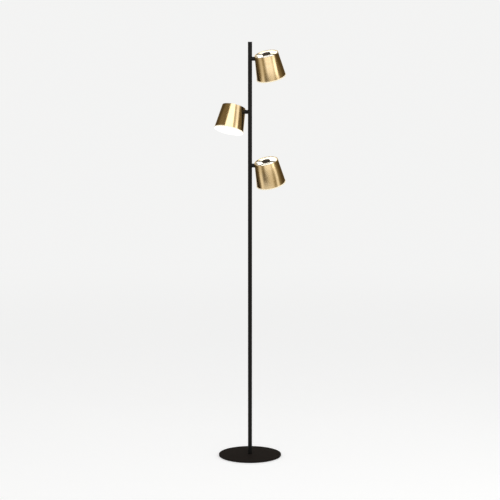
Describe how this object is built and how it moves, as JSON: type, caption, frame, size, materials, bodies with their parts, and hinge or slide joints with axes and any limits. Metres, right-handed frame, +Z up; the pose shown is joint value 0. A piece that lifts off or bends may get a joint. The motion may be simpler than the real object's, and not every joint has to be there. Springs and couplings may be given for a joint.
{
  "type": "pole floor lamp",
  "caption": "Slim black pole floor lamp on a disc base, with conical satin brass spot heads that turn on short side arms.",
  "frame": {"origin": "centre of the base's underside, on the floor, on the pole's axis", "axes": "+Z up along the pole; +X along the top and lower arms, so the middle arm points along -X; -Y is the front, and the cable gland faces +Y"},
  "size_m": [0.2362, 0.215, 1.42],
  "materials": {
    "pole_black": "satin",
    "inner_black": "satin",
    "base_black": "matte",
    "brass": "satin",
    "opal": "satin",
    "steel": "satin",
    "aluminium": "satin",
    "board_white": "matte",
    "led_chip": "matte",
    "pad": "matte",
    "gland": "matte",
    "cable": "matte",
    "friction_plastic": "matte"
  },
  "bodies": {
    "stand": {"base_pad": "pad", "base_plate": "base_black", "base_stud": "steel", "foot_plug": "steel", "lower_pole": "pole_black", "cable_gland": "gland", "splice_sleeve": "cable", "pole_lead": "cable", "lower_joint_insert": "steel", "joint_nipple": "steel", "upper_joint_insert": "steel", "upper_pole": "pole_black", "pole_cap": "pole_black", "swivel_nipples": "steel", "friction_washers": "friction_plastic", "stop_washers": "steel", "spring_washers": "steel", "lock_nuts": "steel", "top_arm": "pole_black", "middle_arm": "pole_black", "lower_arm": "pole_black"},
    "top_head": {"top_shade": "brass", "top_diffuser": "opal", "top_spider_ring": "inner_black", "top_hub_cap": "inner_black", "top_hub_screw": "steel", "top_heat_sink": "aluminium", "top_led_board": "board_white", "top_led_chip": "led_chip", "top_board_screws": "steel", "top_swivel_collar": "pole_black", "top_wall_saddle": "inner_black", "top_head_lead": "cable"},
    "middle_head": {"middle_shade": "brass", "middle_diffuser": "opal", "middle_spider_ring": "inner_black", "middle_hub_cap": "inner_black", "middle_hub_screw": "steel", "middle_heat_sink": "aluminium", "middle_led_board": "board_white", "middle_led_chip": "led_chip", "middle_board_screws": "steel", "middle_swivel_collar": "pole_black", "middle_wall_saddle": "inner_black", "middle_head_lead": "cable"},
    "lower_head": {"lower_shade": "brass", "lower_diffuser": "opal", "lower_spider_ring": "inner_black", "lower_hub_cap": "inner_black", "lower_hub_screw": "steel", "lower_heat_sink": "aluminium", "lower_led_board": "board_white", "lower_led_chip": "led_chip", "lower_board_screws": "steel", "lower_swivel_collar": "pole_black", "lower_wall_saddle": "inner_black", "lower_head_lead": "cable"}
  },
  "joints": [
    {"name": "top_head_turn", "type": "hinge", "parent": "stand", "child": "top_head", "pos_m": [0.018, 0, 1.3635], "axis": [1, 0, 0], "range_deg": [-183, 143]},
    {"name": "middle_head_turn", "type": "hinge", "parent": "stand", "child": "middle_head", "pos_m": [-0.018, 0, 1.1855], "axis": [-1, 0, 0], "range_deg": [-183, 143]},
    {"name": "lower_head_turn", "type": "hinge", "parent": "stand", "child": "lower_head", "pos_m": [0.018, 0, 1.005], "axis": [1, 0, 0], "range_deg": [-183, 143]}
  ]
}
